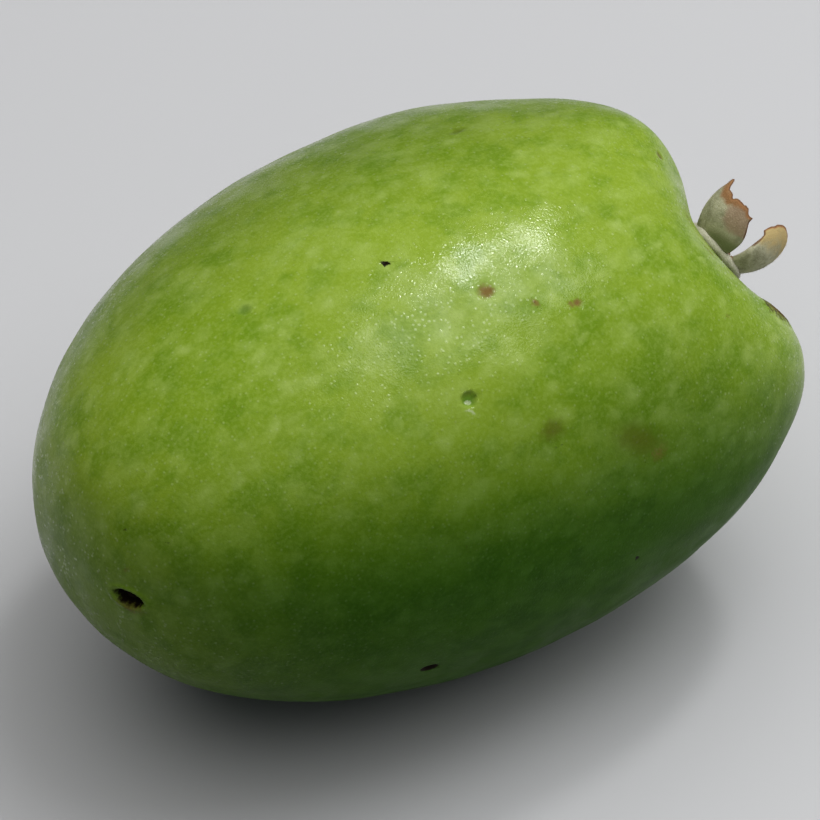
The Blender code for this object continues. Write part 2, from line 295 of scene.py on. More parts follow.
# Colours of the dry calyx: dark and pale ground, the felt that mottles them, then the zones
DRY_COLOURS = {
    "felted_calyx": dict(dark=(0.245, 0.240, 0.150), pale=(0.44, 0.42, 0.30), felt=(0.56, 0.53, 0.43),
                         # Darker root: partly the sepal's own colour, partly painted shade where it meets the
                         # ring
                         root_shade_zone=(0.195, 0.215, 0.110), flush_zone=(0.31, 0.195, 0.140),
                         ochre_zone=(0.36, 0.265, 0.105), torn_zone=(0.255, 0.125, 0.050),
                         rim_zone=(0.14, 0.07, 0.035)),
    "felted_ring": dict(dark=(0.34, 0.34, 0.24), pale=(0.52, 0.50, 0.40), felt=(0.66, 0.64, 0.55),
                        torn_zone=(0.4, 0.3, 0.2), rim_zone=(0.3, 0.2, 0.1), **PALE_ZONES),
    "dry_disc": dict(dark=(0.07, 0.04, 0.02), pale=(0.16, 0.10, 0.05), felt=(0.20, 0.14, 0.08),
                     rim_zone=(0.05, 0.03, 0.02), **BROWN_ZONES),
    "pale_hairs": dict(dark=(0.45, 0.45, 0.34), pale=(0.62, 0.61, 0.50), felt=(0.70, 0.68, 0.58),
                       torn_zone=(0.5, 0.3, 0.2), rim_zone=(0.4, 0.3, 0.2), **PALE_ZONES),
}
# Where each zone's edge rises, and its share
ZONE_LOOKS = {
    "root_shade_zone": (0.2, 0.8, 0.85),
    "flush_zone": (0.2, 0.8, 0.70),
    "ochre_zone": (0.20, 0.80, 0.85),
    "torn_zone": (0.20, 0.95, 0.92),
    "rim_zone": (0.35, 0.75, 0.85),
}
RING_HAIRS = dict(Density=3.5e7, Length=0.00028, Radius=0.000011, Lean=1.0)
SEPAL_HAIRS = dict(Density=2.0e7, Length=0.00022, Radius=0.000010, Lean=1.1)

# The photograph's view of the fruit
VIEW_TURN = 35.725
VIEW_DOWN = 41.183
VIEW_FROM = 0.28
FRAME_SIDE = 820
FOCUS_PIXELS = 3080
AIM_PIXEL = (404.84, 399.33)
SENSOR = 36.0


def smooth_step(t):
    """Goes from 0 to 1 without a corner at either end."""
    t = np.clip(t, 0.0, 1.0)
    return t * t * (3.0 - 2.0 * t)


def girth(along):
    """Share of the full half width at a place along the fruit."""
    power = np.where(along > 0, CALYX_FULLNESS[0], STEM_FULLNESS[0])
    root = np.where(along > 0, CALYX_FULLNESS[1], STEM_FULLNESS[1])
    return np.clip(1.0 - np.abs(along) ** power, 0.0, None) ** (1.0 / root)


def bowed_egg(along, clock):
    """Plain oblong form, both ends drawn a little towards the bow's clock angle."""
    wide = girth(along)
    x = np.where(along > 0, CALYX_HALF, STEM_HALF) * along
    lift = BOW * along ** 2
    bow = math.radians(BOW_CLOCK)
    y = -np.sin(clock) * wide * HALF_WIDTH - math.sin(bow) * lift
    z = np.cos(clock) * wide * HALF_HEIGHT + math.cos(bow) * lift
    return np.stack([x, y, z], axis=-1)


def seat_frame():
    """Outward direction of the calyx, its own top and its own -Y side."""
    out = np.array(SEAT_AXIS) / np.linalg.norm(SEAT_AXIS)
    top = np.array([0.0, 0.0, 1.0]) - out * out[2]
    top /= np.linalg.norm(top)
    side = np.cross(top, out)
    return out, top, -side if side[1] > 0 else side


def add_swells(points):
    """Pushes the skin out or in by each soft swell."""
    outward = points * np.array([(HALF_WIDTH / CALYX_HALF) ** 2, 1.0, 1.0])
    outward /= np.linalg.norm(outward, axis=-1, keepdims=True) + 1e-9
    rise = np.zeros(points.shape[:-1])
    for along, clock, reach, height in SWELLS:
        middle = bowed_egg(np.array(along), np.array(math.radians(clock)))
        away = ((points - middle) ** 2).sum(axis=-1)
        rise = rise + height * np.exp(-away / reach ** 2)
    return points + outward * rise[..., None]


def sink_basin(points):
    """Four-lobed basin at the calyx end, with its flat seat."""
    out, top, side = seat_frame()
    from_seat = points - np.array(SEAT_POINT)
    up = from_seat @ top
    across = from_seat @ side
    away = np.hypot(up, across)
    from_valley = np.arctan2(across, up) - math.radians(VALLEY_CLOCK)
    reach = BASIN_REACH * (1.0 + BASIN_FOLD * np.cos(4.0 * from_valley))
    blend = SEAT_BLEND + SEAT_EASE * (0.5 - 0.5 * np.cos(from_valley))
    near_end = smooth_step(1.0 + (from_seat @ out + BASIN_END) / BASIN_END)
    sunk = points - out * (BASIN_DEPTH * np.exp(-(away / reach) ** 2) * near_end)[..., None]
    share = smooth_step((blend - away) / (blend - SEAT_RADIUS)) * near_end
    level = (sunk - np.array(SEAT_POINT)) @ out
    return sunk + out * (share * -level)[..., None]


def skin(along, clock):
    """Point on the smooth fruit in millimetres, for a place along it and a clock angle in radians."""
    return sink_basin(add_swells(bowed_egg(along, clock))) + np.array(MIDDLE)


def skin_frame(along, clock):
    """Point on the skin with its outward, lengthwise and crosswise directions."""
    step = 0.002
    low = np.clip(along - step, -1.0, 1.0)
    high = np.clip(along + step, -1.0, 1.0)
    point = skin(along, clock)
    lengthwise = skin(high, clock) - skin(low, clock)
    lengthwise /= np.linalg.norm(lengthwise, axis=-1, keepdims=True) + 1e-12
    crosswise = skin(along, clock + step) - skin(along, clock - step)
    crosswise /= np.linalg.norm(crosswise, axis=-1, keepdims=True) + 1e-12
    outward = np.cross(crosswise, lengthwise)
    outward /= np.linalg.norm(outward, axis=-1, keepdims=True) + 1e-12
    inward = ((point - np.array(MIDDLE)) * outward).sum(axis=-1) < 0
    outward = np.where(inward[..., None], -outward, outward)
    return point, outward, lengthwise, crosswise


def seat_middle():
    """Middle of the flat seat in millimetres."""
    return np.array(SEAT_POINT) + np.array(MIDDLE)


def rough(points, size, seed):
    """Smooth noise between -1 and 1 at each point, for bumps of about that size in millimetres."""
    shift = Vector((seed * 17.3, seed * 5.1, seed * 9.7))
    return np.array([noise.noise(Vector(point) / size + shift) for point in points])


def mark_distance(points, mark):
    """Distance from a mark's middle as a share of its own radius, and its middle's outward direction."""
    along, clock, half_long, half_wide, turn = mark[:5]
    middle, outward, lengthwise, crosswise = skin_frame(np.array(along), np.array(math.radians(clock)))
    angle = math.radians(turn)
    long_side = math.cos(angle) * lengthwise + math.sin(angle) * crosswise
    wide_side = -math.sin(angle) * lengthwise + math.cos(angle) * crosswise
    from_middle = points - middle
    depth = from_middle @ outward
    share = np.sqrt((from_middle @ long_side / half_long) ** 2 + (from_middle @ wide_side / half_wide) ** 2)
    return np.where(np.abs(depth) < 3.0 * max(half_long, half_wide), share, 99.0)


def inside(share, edge):
    """Goes from 0 at the first share to 1 where the share is smaller by the second value."""
    start, width = edge
    return smooth_step((start - share) / width)


def relief(points):
    """Height to add to the skin at each point, in millimetres."""
    height = WAVE_HEIGHT * rough(points, WAVE_SIZE, 1) + RIPPLE_HEIGHT * rough(points, RIPPLE_SIZE, 2)
    from_seat = np.linalg.norm(points - seat_middle(), axis=-1)
    height *= smooth_step((from_seat - SEAT_RADIUS) / SEAT_RADIUS)
    height *= smooth_step(points[:, 2] / FLAT_FOOT)
    for along, clock, radius, depth in DENTS:
        middle = skin(np.array(along), np.array(math.radians(clock)))
        away = ((points - middle) ** 2).sum(axis=-1)
        height -= depth * np.exp(-away / radius ** 2)
    crumple = rough(points, CRUMPLE_SIZE, 3)
    for name, mark in MARKS.items():
        share = mark_distance(points, mark)
        edge = share + CRUMPLE * crumple
        depth = mark[5]
        if name == "stem_scar":
            height -= depth * (inside(edge, WELL_EDGE) - BUTTON_SHARE * inside(edge, BUTTON_EDGE))
            lip_height, lip_place, lip_width = LIP
            height += lip_height * np.exp(-((share - lip_place) / lip_width) ** 2)
        elif name in BOWLED:
            bowl = inside(edge, BOWL_EDGE)
            height += bowl * (BOWL_GRAIN * rough(points, BOWL_GRAIN_SIZE, 4) - depth)
        elif depth:
            height -= depth * inside(edge, DIP_EDGE)
    return height


def tint(points, name):
    """Strength of one tint of the marks at each point."""
    column = 6 + TINTS.index(name)
    strength = np.zeros(len(points))
    frayed = rough(points, TINT_FRAY_SIZE, 5)
    for mark in MARKS.values():
        if mark[column]:
            share = mark_distance(points, mark) + TINT_FRAY * frayed
            strength = np.maximum(strength, mark[column] * inside(share, (TINT_EDGE, TINT_SOFT[name])))
    return strength


def new_piece(name, bm, material):
    """Object made of a finished bmesh in metres, smooth and facing outwards."""
    bmesh.ops.recalc_face_normals(bm, faces=bm.faces)
    mesh = bpy.data.meshes.new(name)
    bm.to_mesh(mesh)
    bm.free()
    mesh.shade_smooth()
    mesh.materials.append(material)
    piece = bpy.data.objects.new(name, mesh)
    bpy.context.scene.collection.objects.link(piece)
    return piece


def place(piece, node):
    """Lets a piece stand for its solid."""
    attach(piece, "root")
    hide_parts(node)
    return piece


def put_values(mesh, name, values):
    """One number at each point of the mesh, for its material."""
    layer = mesh.attributes.new(name, "FLOAT", "POINT")
    layer.data.foreach_set("value", np.asarray(values, dtype=np.float32))


def fine_around_marks(bm, along_layer, clock_layer):
    """Smaller faces where the marks are cut."""
    for cut in range(FINE_CUTS):
        bm.verts.index_update()
        along = np.array([vert[along_layer] for vert in bm.verts])
        clock = np.array([vert[clock_layer] for vert in bm.verts])
        points = skin(along, clock)
        near = np.zeros(len(points), dtype=bool)
        for mark in MARKS.values():
            if mark[5] or mark[6] or mark[7]:
                near |= mark_distance(points, mark) < FINE_ZONE - 0.2 * cut
        edges = [edge for edge in bm.edges
                 if near[edge.verts[0].index] and near[edge.verts[1].index]]
        bmesh.ops.subdivide_edges(bm, edges=edges, cuts=1, use_grid_fill=True)


def make_fruit(material):
    """Body from the smooth form, with the relief of its marks and dents pressed in."""
    bm = bmesh.new()
    along_layer = bm.verts.layers.float.new("along")
    clock_layer = bm.verts.layers.float.new("clock")
    rings = []
    for i in range(1, ALONG):
        turn = math.pi * i / ALONG
        ring = []
        for j in range(AROUND):
            vert = bm.verts.new()
            vert[along_layer] = math.cos(turn - CROWDING * math.sin(turn))
            vert[clock_layer] = math.tau * j / AROUND - math.pi
            ring.append(vert)
        rings.append(ring)
    for ring, following in zip(rings, rings[1:]):
        for j in range(AROUND):
            k = (j + 1) % AROUND
            bm.faces.new((ring[j], ring[k], following[k], following[j]))
    for ring, along in ((rings[0], 1.0), (rings[-1], -1.0)):
        pole = bm.verts.new()
        pole[along_layer] = along
        for j in range(AROUND):
            bm.faces.new((pole, ring[j], ring[(j + 1) % AROUND]))
    fine_around_marks(bm, along_layer, clock_layer)
    along = np.array([vert[along_layer] for vert in bm.verts])
    clock = np.array([vert[clock_layer] for vert in bm.verts])
    points, outward, lengthwise, crosswise = skin_frame(along, clock)
    pole = np.abs(along) > 0.999999
    outward[pole] = np.sign(along[pole])[:, None] * np.array([1.0, 0.0, 0.0])
    raised = points + outward * relief(points)[:, None]
    raised[:, 2] = np.maximum(raised[:, 2], 0.0)
    for vert, point in zip(bm.verts, raised):
        vert.co = Vector(point) * MM
    fruit = new_piece("fruit_skin", bm, material)
    paint_fruit(fruit.data, points, outward, along)
    return place(fruit, "fruit")


def paint_fruit(mesh, points, outward, along):
    """Values that the skin's material reads: the marks' tints, the painted glints in the crater, the bloom,
    and the painted shade on the near lower side and on the far side.
    """
    for name in TINTS:
        put_values(mesh, name, tint(points, name))
    # Painted glints in the crater
    crater_glints = [inside(mark_distance(points, glint_mark), CRATER_GLINT_EDGE) for glint_mark in CRATER_GLINT_MARKS]
    put_values(mesh, "crater_glints", np.max(crater_glints, axis=0))
    from_seat = np.linalg.norm(points - seat_middle(), axis=-1)
    put_values(mesh, "near_calyx", np.exp(-((from_seat - SEAT_RADIUS) / BLOOM_REACH).clip(0.0) ** 2))
    put_values(mesh, "toward_calyx", along)
    # Painted shade: how much each point faces the near lower side, eased towards both ends, and the far side
    tilt = outward @ (np.array(SHADE_SIDE) / np.linalg.norm(SHADE_SIDE))
    shade = smooth_step((tilt - SHADE_START) / SHADE_BLEND)
    put_values(mesh, "shade_side", shade * (1.0 - SHADE_ENDS * along ** 4))
    tilt = outward @ (np.array(FAR_SHADE_SIDE) / np.linalg.norm(FAR_SHADE_SIDE))
    put_values(mesh, "far_shade_side", smooth_step((tilt - FAR_SHADE_START) / FAR_SHADE_BLEND))


def in_calyx(height, away, clock):
    """Point in millimetres from the height over the seat, the distance from its axis and the clock."""
    out, top, side = seat_frame()
    spoke = np.cos(clock)[..., None] * top + np.sin(clock)[..., None] * side
    return seat_middle() + out * np.asarray(height)[..., None] + spoke * np.asarray(away)[..., None]


def add_points(bm, points):
    """Vertices at a grid of points in millimetres."""
    return [bm.verts.new(Vector(point) * MM) for point in points.reshape(-1, 3)]


def grid_faces(bm, verts, rows, columns, closed=True, ring=False):
    """Faces of a grid; closed joins its last column to the first, ring its last row to the first."""
    for i in range(rows if ring else rows - 1):
        m = (i + 1) % rows
        for j in range(columns if closed else columns - 1):
            k = (j + 1) % columns
            bm.faces.new((verts[i * columns + j], verts[i * columns + k],
                          verts[m * columns + k], verts[m * columns + j]))


def round_grid(first, steps):
    """Grid of the first values against the clock angles of one round."""
    return np.meshgrid(first, np.linspace(0.0, math.tau, steps, endpoint=False), indexing="ij")


def make_ring(material):
    """Low felted ring where the calyx meets the skin, with uneven crown and foot."""
    turn, clock = round_grid(np.linspace(0.0, math.tau, RING_TURNS, endpoint=False), RING_STEPS)
    lumps = sum(size * np.sin(count * clock + phase) for size, count, phase in RING_LUMPS)
    low_side = 1.0 - RING_LOW_SIDE * (0.5 - 0.5 * np.cos(clock))
    away = RING_RADIUS - RING_INSET + (RING_THICK + lumps) * np.cos(turn)
    height = GAP + (0.5 * RING_HEIGHT + (0.5 * RING_HEIGHT + lumps) * np.sin(turn)) * low_side
    height = np.maximum(height, GAP)
    bm = bmesh.new()
    grid_faces(bm, add_points(bm, in_calyx(height, away, clock)), RING_TURNS, RING_STEPS, ring=True)
    return place(new_piece("calyx_ring", bm, material), "calyx")


def make_disc(material):
    """Dry brown disc inside the ring, wrinkled towards the middle."""
    share, clock = round_grid(np.linspace(DISC_HOLE, 1.0, DISC_ROWS), DISC_STEPS)
    radius = (RING_RADIUS - DISC_INSET) * share
    fold_height, fold_count, fold_slant = DISC_FOLDS
    folds = fold_height * np.sin(fold_count * clock + fold_slant * share) * share
    height = GAP + DISC_HEIGHT - DISC_SAG + DISC_RISE * share ** 2 + folds
    bm = bmesh.new()
    upper = add_points(bm, in_calyx(height, radius, clock))
    lower = add_points(bm, in_calyx(np.full_like(height, GAP + DISC_FOOT), radius, clock))
    for verts in (upper, lower):
        grid_faces(bm, verts, DISC_ROWS, DISC_STEPS)
        bm.faces.new(verts[:DISC_STEPS])
    outer = upper[-DISC_STEPS:] + lower[-DISC_STEPS:]
    grid_faces(bm, outer, 2, DISC_STEPS)
    return place(new_piece("calyx_disc", bm, material), "calyx")


def make_stub(material):
    """Withered style stub in the middle of the disc, bent and frayed at its end."""
    up, clock = round_grid(np.linspace(0.0, 1.0, STUB_ROWS), STUB_STEPS)
    rib_depth, rib_count, rib_slant = STUB_RIBS
    flare, flare_reach = STUB_FLARE
    fray, fray_count = STUB_FRAYS
    radius = STUB_RADIUS * (1.0 - STUB_TAPER * up)
    radius *= 1.0 + rib_depth * np.sin(rib_count * clock + rib_slant * up)
    radius *= 1.0 + flare * np.exp(-((up - 1.0) / flare_reach) ** 2)
    rise = GAP + STUB_ROOT + STUB_HEIGHT * up * (1.0 + fray * np.sin(fray_count * clock))
    side = seat_frame()[2]
    points = in_calyx(rise, radius, clock) + side * (STUB_BEND * up ** 2)[..., None]
    bm = bmesh.new()
    verts = add_points(bm, points)
    grid_faces(bm, verts, STUB_ROWS, STUB_STEPS)
    bm.faces.new(verts[:STUB_STEPS])
    bm.faces.new(verts[-STUB_STEPS:])
    return place(new_piece("style_stub", bm, material), "calyx")


def sepal_reach(sepal, across, along):
    """Length of a sepal's curve from its root, shortened by its point, slope, teeth and frays."""
    taper = 1.0 - sepal["point"] * np.abs(across - sepal["skew"]) ** POINT_POWER
    taper = taper - CORNER_DROP * smooth_step((across - CORNER_START) / (1.0 - CORNER_START))
    taper = taper - sepal["drop"] * smooth_step((across - sepal["drop_at"]) / DROP_WIDTH)
    ragged = np.sin(TEETH[0] * across + sepal["phase"])
    ragged = ragged + SMALL_TEETH * np.sin(TEETH[1] * across + 2.0 * sepal["phase"])
    tear = 0.5 * (ragged + np.sqrt(ragged ** 2 + TEETH_SOFT)) * along
    frays = [noise.fractal(Vector((FRAY_COUNT * value, sepal["phase"], 0.0)), 0.6, 2.2, 4)
             for value in across.ravel()]
    calm_start, calm_width, calm_share = CALM_CORNER
    corner = 1.0 - calm_share * smooth_step((across - calm_start) / calm_width)
    tear = tear + sepal["frays"] * np.array(frays).reshape(across.shape) * along ** 4 * corner
    return sepal["length"] * along * (taper - sepal["torn"] * tear)


def sepal_surface(sepal, across, along):
    """Middle surface of a sepal: across -1 to 1, along 0 at the root to 1 at the end."""
    reach = sepal_reach(sepal, across, along)
    height = np.full(reach.shape, GAP + SEPAL_ROOT)
    away = np.full(reach.shape, sepal["away"])

    def leaning(part):
        turned = sepal["root"] + (sepal["tip"] - sepal["root"]) * np.clip(part, 0.0, None) ** LEAN_LATE
        return np.radians(turned)

    for i in range(BLADE_STEPS):
        lean = leaning((i + 0.5) / BLADE_STEPS * reach / sepal["length"])
        height = height + np.cos(lean) * reach / BLADE_STEPS
        away = away + np.sin(lean) * reach / BLADE_STEPS
    lean = leaning(reach / sepal["length"])
    swell = np.sin(0.5 * math.pi * np.minimum(2.0, along / WIDEST_AT))
    belly = ROOT_WIDTH + (1.0 - ROOT_WIDTH) * swell
    turn = sepal["half"] * across * belly / sepal["curl"]
    inward = sepal["curl"] * (1.0 - np.cos(turn))
    out, top, side = seat_frame()
    clock = math.radians(sepal["clock"])
    spoke = math.cos(clock) * top + math.sin(clock) * side
    sidewise = -math.sin(clock) * top + math.cos(clock) * side
    face = np.cos(lean)[..., None] * spoke - np.sin(lean)[..., None] * out
    twist = (math.radians(sepal["twist"]) * (reach / sepal["length"]) ** 2)[..., None]
    twisted = np.cos(twist) * sidewise + np.sin(twist) * face
    face = np.cos(twist) * face - np.sin(twist) * sidewise
    place_in_calyx = (out * height[..., None] + spoke * away[..., None]
                      + twisted * (sepal["curl"] * np.sin(turn))[..., None] - face * inward[..., None])
    return seat_middle() + place_in_calyx


def make_sepal(name, sepal, material):
    """Curved dry blade, thin at its sides and torn at its end."""
    rows = columns = SEPAL_STEPS
    across, along = np.meshgrid(np.linspace(-1.0, 1.0, columns), np.linspace(0.0, 1.0, rows))
    middle = sepal_surface(sepal, across, along)
    down = np.gradient(middle, axis=0)
    right = np.gradient(middle, axis=1)
    outward = np.cross(down, right)
    outward /= np.linalg.norm(outward, axis=-1, keepdims=True) + 1e-12
    side_gap = 1.0 - np.abs(across)
    end_gap = 1.0 - along
    rim = np.minimum(smooth_step(side_gap / THIN_SIDE), smooth_step(end_gap / THIN_END))
    half = (END_HALF + ROOT_HALF * end_gap) * (RIM_SHARE + (1.0 - RIM_SHARE) * rim)
    bm = bmesh.new()
    front, back = (add_points(bm, middle + outward * (sign * half)[..., None]) for sign in (1.0, -1.0))
    grid_faces(bm, front, rows, columns, closed=False)
    grid_faces(bm, back, rows, columns, closed=False)
    last = columns * rows - 1
    rim_path = list(range(columns)) + [columns * (i + 1) - 1 for i in range(1, rows)]
    rim_path += list(range(last - 1, last - columns, -1))
    rim_path += [columns * i for i in range(rows - 2, 0, -1)]
    for i, here in enumerate(rim_path):
        there = rim_path[(i + 1) % len(rim_path)]
        bm.faces.new((front[here], front[there], back[there], back[here]))
    piece = new_piece("sepal_" + name, bm, material)
    paint_sepal(piece.data, sepal, across, along)
    return place(piece, "calyx")


def paint_sepal(mesh, sepal, across, along):
    """Where a sepal is dark at its root (partly painted shade), flushed, ochre or torn, on both of its faces.
    """
    end_room = (1.0 - along) * sepal["length"]
    rim_room = np.minimum(end_room, (1.0 - np.abs(across)) * sepal["half"])
    torn_reach = np.interp(across, (-1.0, 1.0), sepal["torn_reach"])
    # Darker root: partly the sepal's own colour, partly painted shade where it meets the ring
    root_shade_mask = smooth_step((0.50 - along) / 0.45) * smooth_step((across + 0.5) / 0.9)
    zones = {
        "root_shade_zone": sepal["root_shade"] * root_shade_mask,
        "flush_zone": sepal["flush"] * smooth_step((across + 0.3) / 0.7) * smooth_step((along - 0.30) / 0.35),
        "ochre_zone": sepal["ochre"] * smooth_step((along - 0.35) / 0.45),
        "torn_zone": smooth_step(1.25 - end_room / torn_reach),
        "rim_zone": smooth_step(1.0 - rim_room / RIM_WIDTH) * smooth_step((along - 0.3) / 0.3),
    }
    for zone, values in zones.items():
        put_values(mesh, zone, np.tile(values.ravel(), 2))


def make_hair_tree():
    """Short tapered hairs scattered over a surface, leaning at random."""
    tree = bpy.data.node_groups.new("felt_hairs", "GeometryNodeTree")
    tree.interface.new_socket("Geometry", in_out="INPUT", socket_type="NodeSocketGeometry")
    for name, value in (("Density", 1.0e7), ("Length", 0.0003), ("Radius", 0.00001), ("Lean", 0.9)):
        tree.interface.new_socket(name, in_out="INPUT", socket_type="NodeSocketFloat").default_value = value
    tree.interface.new_socket("Seed", in_out="INPUT", socket_type="NodeSocketInt")
    tree.interface.new_socket("Material", in_out="INPUT", socket_type="NodeSocketMaterial")
    tree.interface.new_socket("Geometry", in_out="OUTPUT", socket_type="NodeSocketGeometry")
    given = add_node(tree, "NodeGroupInput")
    result = add_node(tree, "NodeGroupOutput")
    scatter = add_node(tree, "GeometryNodeDistributePointsOnFaces")
    cone = add_node(tree, "GeometryNodeMeshCone", {"Vertices": 3, "Radius Top": 0.0})
    copies = add_node(tree, "GeometryNodeInstanceOnPoints")
    size = add_node(tree, "FunctionNodeRandomValue", data_type="FLOAT")
    lean = add_node(tree, "FunctionNodeRandomValue", data_type="FLOAT_VECTOR")
    turn = add_node(tree, "FunctionNodeRotateRotation", rotation_space="LOCAL")
    whole = add_node(tree, "GeometryNodeRealizeInstances")
    coloured = add_node(tree, "GeometryNodeSetMaterial")
    opposite = add_node(tree, "ShaderNodeMath", operation="MULTIPLY")
    opposite.inputs[1].default_value = -1.0
    size.inputs["Min"].default_value = 0.45
    size.inputs["Max"].default_value = 1.0
    for source, target in ((given.outputs["Geometry"], scatter.inputs["Mesh"]),
                           (given.outputs["Density"], scatter.inputs["Density"]),
                           (given.outputs["Seed"], scatter.inputs["Seed"]),
                           (given.outputs["Radius"], cone.inputs["Radius Bottom"]),
                           (given.outputs["Length"], cone.inputs["Depth"]),
                           (given.outputs["Lean"], opposite.inputs[0]),
                           (opposite.outputs[0], lean.inputs["Min"]),
                           (given.outputs["Lean"], lean.inputs["Max"]),
                           (scatter.outputs["Rotation"], turn.inputs["Rotation"]),
                           (lean.outputs["Value"], turn.inputs["Rotate By"]),
                           (scatter.outputs["Points"], copies.inputs["Points"]),
                           (cone.outputs["Mesh"], copies.inputs["Instance"]),
                           (turn.outputs["Rotation"], copies.inputs["Rotation"]),
                           (size.outputs[1], copies.inputs["Scale"]),
                           (copies.outputs["Instances"], whole.inputs["Geometry"]),
                           (whole.outputs["Geometry"], coloured.inputs["Geometry"]),
                           (given.outputs["Material"], coloured.inputs["Material"]),
                           (coloured.outputs["Geometry"], result.inputs["Geometry"])):
        tree.links.new(source, target)
    return tree


def grow_hairs(name, carrier, tree, material, **sizes):
    """Piece of hairs that stand on another piece."""
    grown = bpy.data.objects.new(name, carrier.data.copy())
    bpy.context.scene.collection.objects.link(grown)
    modifier = grown.modifiers.new("hairs", "NODES")
    modifier.node_group = tree
    sockets = {item.name: item.identifier for item in tree.interface.items_tree if item.in_out == "INPUT"}
    for label, value in sizes.items():
        modifier[sockets[label]] = value
    modifier[sockets["Material"]] = material
    mesh = bpy.data.meshes.new_from_object(grown.evaluated_get(bpy.context.evaluated_depsgraph_get()))
    grown.modifiers.remove(modifier)
    grown.data = mesh
    return place(grown, "calyx")


def make_camera():
    """Camera where the photograph was taken from."""
    turn = math.radians(VIEW_TURN)
    down = math.radians(VIEW_DOWN)
    right = Vector((math.cos(turn), -math.sin(turn), 0.0))
    ahead = Vector((math.sin(turn), math.cos(turn), 0.0))
    view = math.cos(down) * ahead - math.sin(down) * Vector((0.0, 0.0, 1.0))
    up = math.sin(down) * ahead + math.cos(down) * Vector((0.0, 0.0, 1.0))
    data = bpy.data.cameras.new("camera")
    data.sensor_width = SENSOR
    data.lens = SENSOR * FOCUS_PIXELS / FRAME_SIDE
    data.shift_x = (FRAME_SIDE / 2 - AIM_PIXEL[0]) / FRAME_SIDE
    data.shift_y = (AIM_PIXEL[1] - FRAME_SIDE / 2) / FRAME_SIDE
    data.clip_start = 0.01
    camera = bpy.data.objects.new("camera", data)
    camera.matrix_world = Matrix((right, up, -view)).transposed().to_4x4()
    camera.location = Vector(MIDDLE) * MM - view * VIEW_FROM
    bpy.context.scene.collection.objects.link(camera)
    bpy.context.scene.camera = camera
    return camera


def add_lamp(name, direction, distance, size, power, colour):
    """Round soft light that looks at the fruit."""
    data = bpy.data.lights.new(name, "AREA")
    data.shape = "DISK"
    data.size = size
    data.energy = power
    data.color = colour
    lamp = bpy.data.objects.new(name, data)
    aim = Vector(direction).normalized()
    lamp.location = Vector((0.0, 0.0, 0.02)) + aim * distance
    lamp.rotation_euler = aim.to_track_quat("Z", "Y").to_euler()
    bpy.context.scene.collection.objects.link(lamp)
    return lamp


def make_light():
    """Broad overhead light, a low fill, a sky and a small window for the sheen, and a pale surrounding."""
    overhead = add_lamp("overhead", (0.06, -0.02, 0.995), 0.70, 1.40, 7.0, (1.0, 0.99, 0.97))
    overhead.visible_glossy = False
    fill = add_lamp("fill", (0.84, -0.42, 0.26), 0.80, 0.90, 1.9, (0.97, 0.99, 1.0))
    fill.visible_glossy = False
    add_lamp("sky", (0.34, -0.13, 0.93), 0.70, 0.42, 1.35, (0.97, 0.99, 1.0))
    add_lamp("window", (0.445, 0.105, 0.885), 0.70, 0.10, 0.72, (1.0, 1.0, 1.0))
    world = bpy.data.worlds.new("surrounding")
    world.use_nodes = True
    background = world.node_tree.nodes["Background"]
    background.inputs["Color"].default_value = (0.80, 0.84, 0.88, 1.0)
    background.inputs["Strength"].default_value = 0.15
    bpy.context.scene.world = world
    bpy.context.scene.view_settings.view_transform = "Standard"
    bpy.context.scene.view_settings.look = "Medium High Contrast"


def make_floor(material):
    """Plain pale floor."""
    bm = bmesh.new()
    bmesh.ops.create_grid(bm, x_segments=1, y_segments=1, size=1.5)
    floor = new_piece("floor", bm, material)
    return floor


def new_material(name, roughness):
    """Plain material of that roughness, its node tree and its Principled shader."""
    material = bpy.data.materials.new(name)
    material.use_nodes = True
    shader = material.node_tree.nodes["Principled BSDF"]
    shader.inputs["Roughness"].default_value = roughness
    shader.inputs["Metallic"].default_value = 0.0
    return material, material.node_tree, shader


def add_node(tree, kind, values=None, **settings):
    """Node with its settings and its unlinked values."""
    node = tree.nodes.new(kind)
    for key, value in settings.items():
        setattr(node, key, value)
    for key, value in (values or {}).items():
        node.inputs[key].default_value = value
    return node


def attribute(tree, name):
    """Value that the mesh carries under this name."""
    return add_node(tree, "ShaderNodeAttribute", attribute_name=name).outputs["Fac"]


def calculate(tree, operation, first, second=None, clamp=False):
    """Math node on sockets or plain numbers."""
    node = add_node(tree, "ShaderNodeMath", operation=operation, use_clamp=clamp)
    for socket, value in zip(node.inputs, (first, second)):
        if isinstance(value, (int, float)):
            socket.default_value = value
        elif value is not None:
            tree.links.new(value, socket)
    return node.outputs[0]


def times(tree, first, second, clamp=False):
    """Product of two values."""
    return calculate(tree, "MULTIPLY", first, second, clamp)


def plus(tree, first, second):
    """Sum of two values."""
    return calculate(tree, "ADD", first, second)


def ramp_value(tree, value, low, high):
    """Turns low to high into 0 to 1, smoothly."""
    node = add_node(tree, "ShaderNodeMapRange", {"From Min": low, "From Max": high},
                    interpolation_type="SMOOTHSTEP")
    tree.links.new(value, node.inputs["Value"])
    return node.outputs["Result"]


def blend_colour(tree, share, first, second, kind="MIX"):
    """Mix of two colours, each a socket or a plain colour."""
    node = add_node(tree, "ShaderNodeMix", data_type="RGBA", blend_type=kind)
    sockets = {"Factor": node.inputs[0], "A": node.inputs[6], "B": node.inputs[7]}
    for socket, value in ((sockets["Factor"], share), (sockets["A"], first), (sockets["B"], second)):
        if isinstance(value, (int, float)):
            socket.default_value = value
        elif isinstance(value, tuple):
            socket.default_value = (*value, 1.0)
        else:
            tree.links.new(value, socket)
    return node.outputs[2]


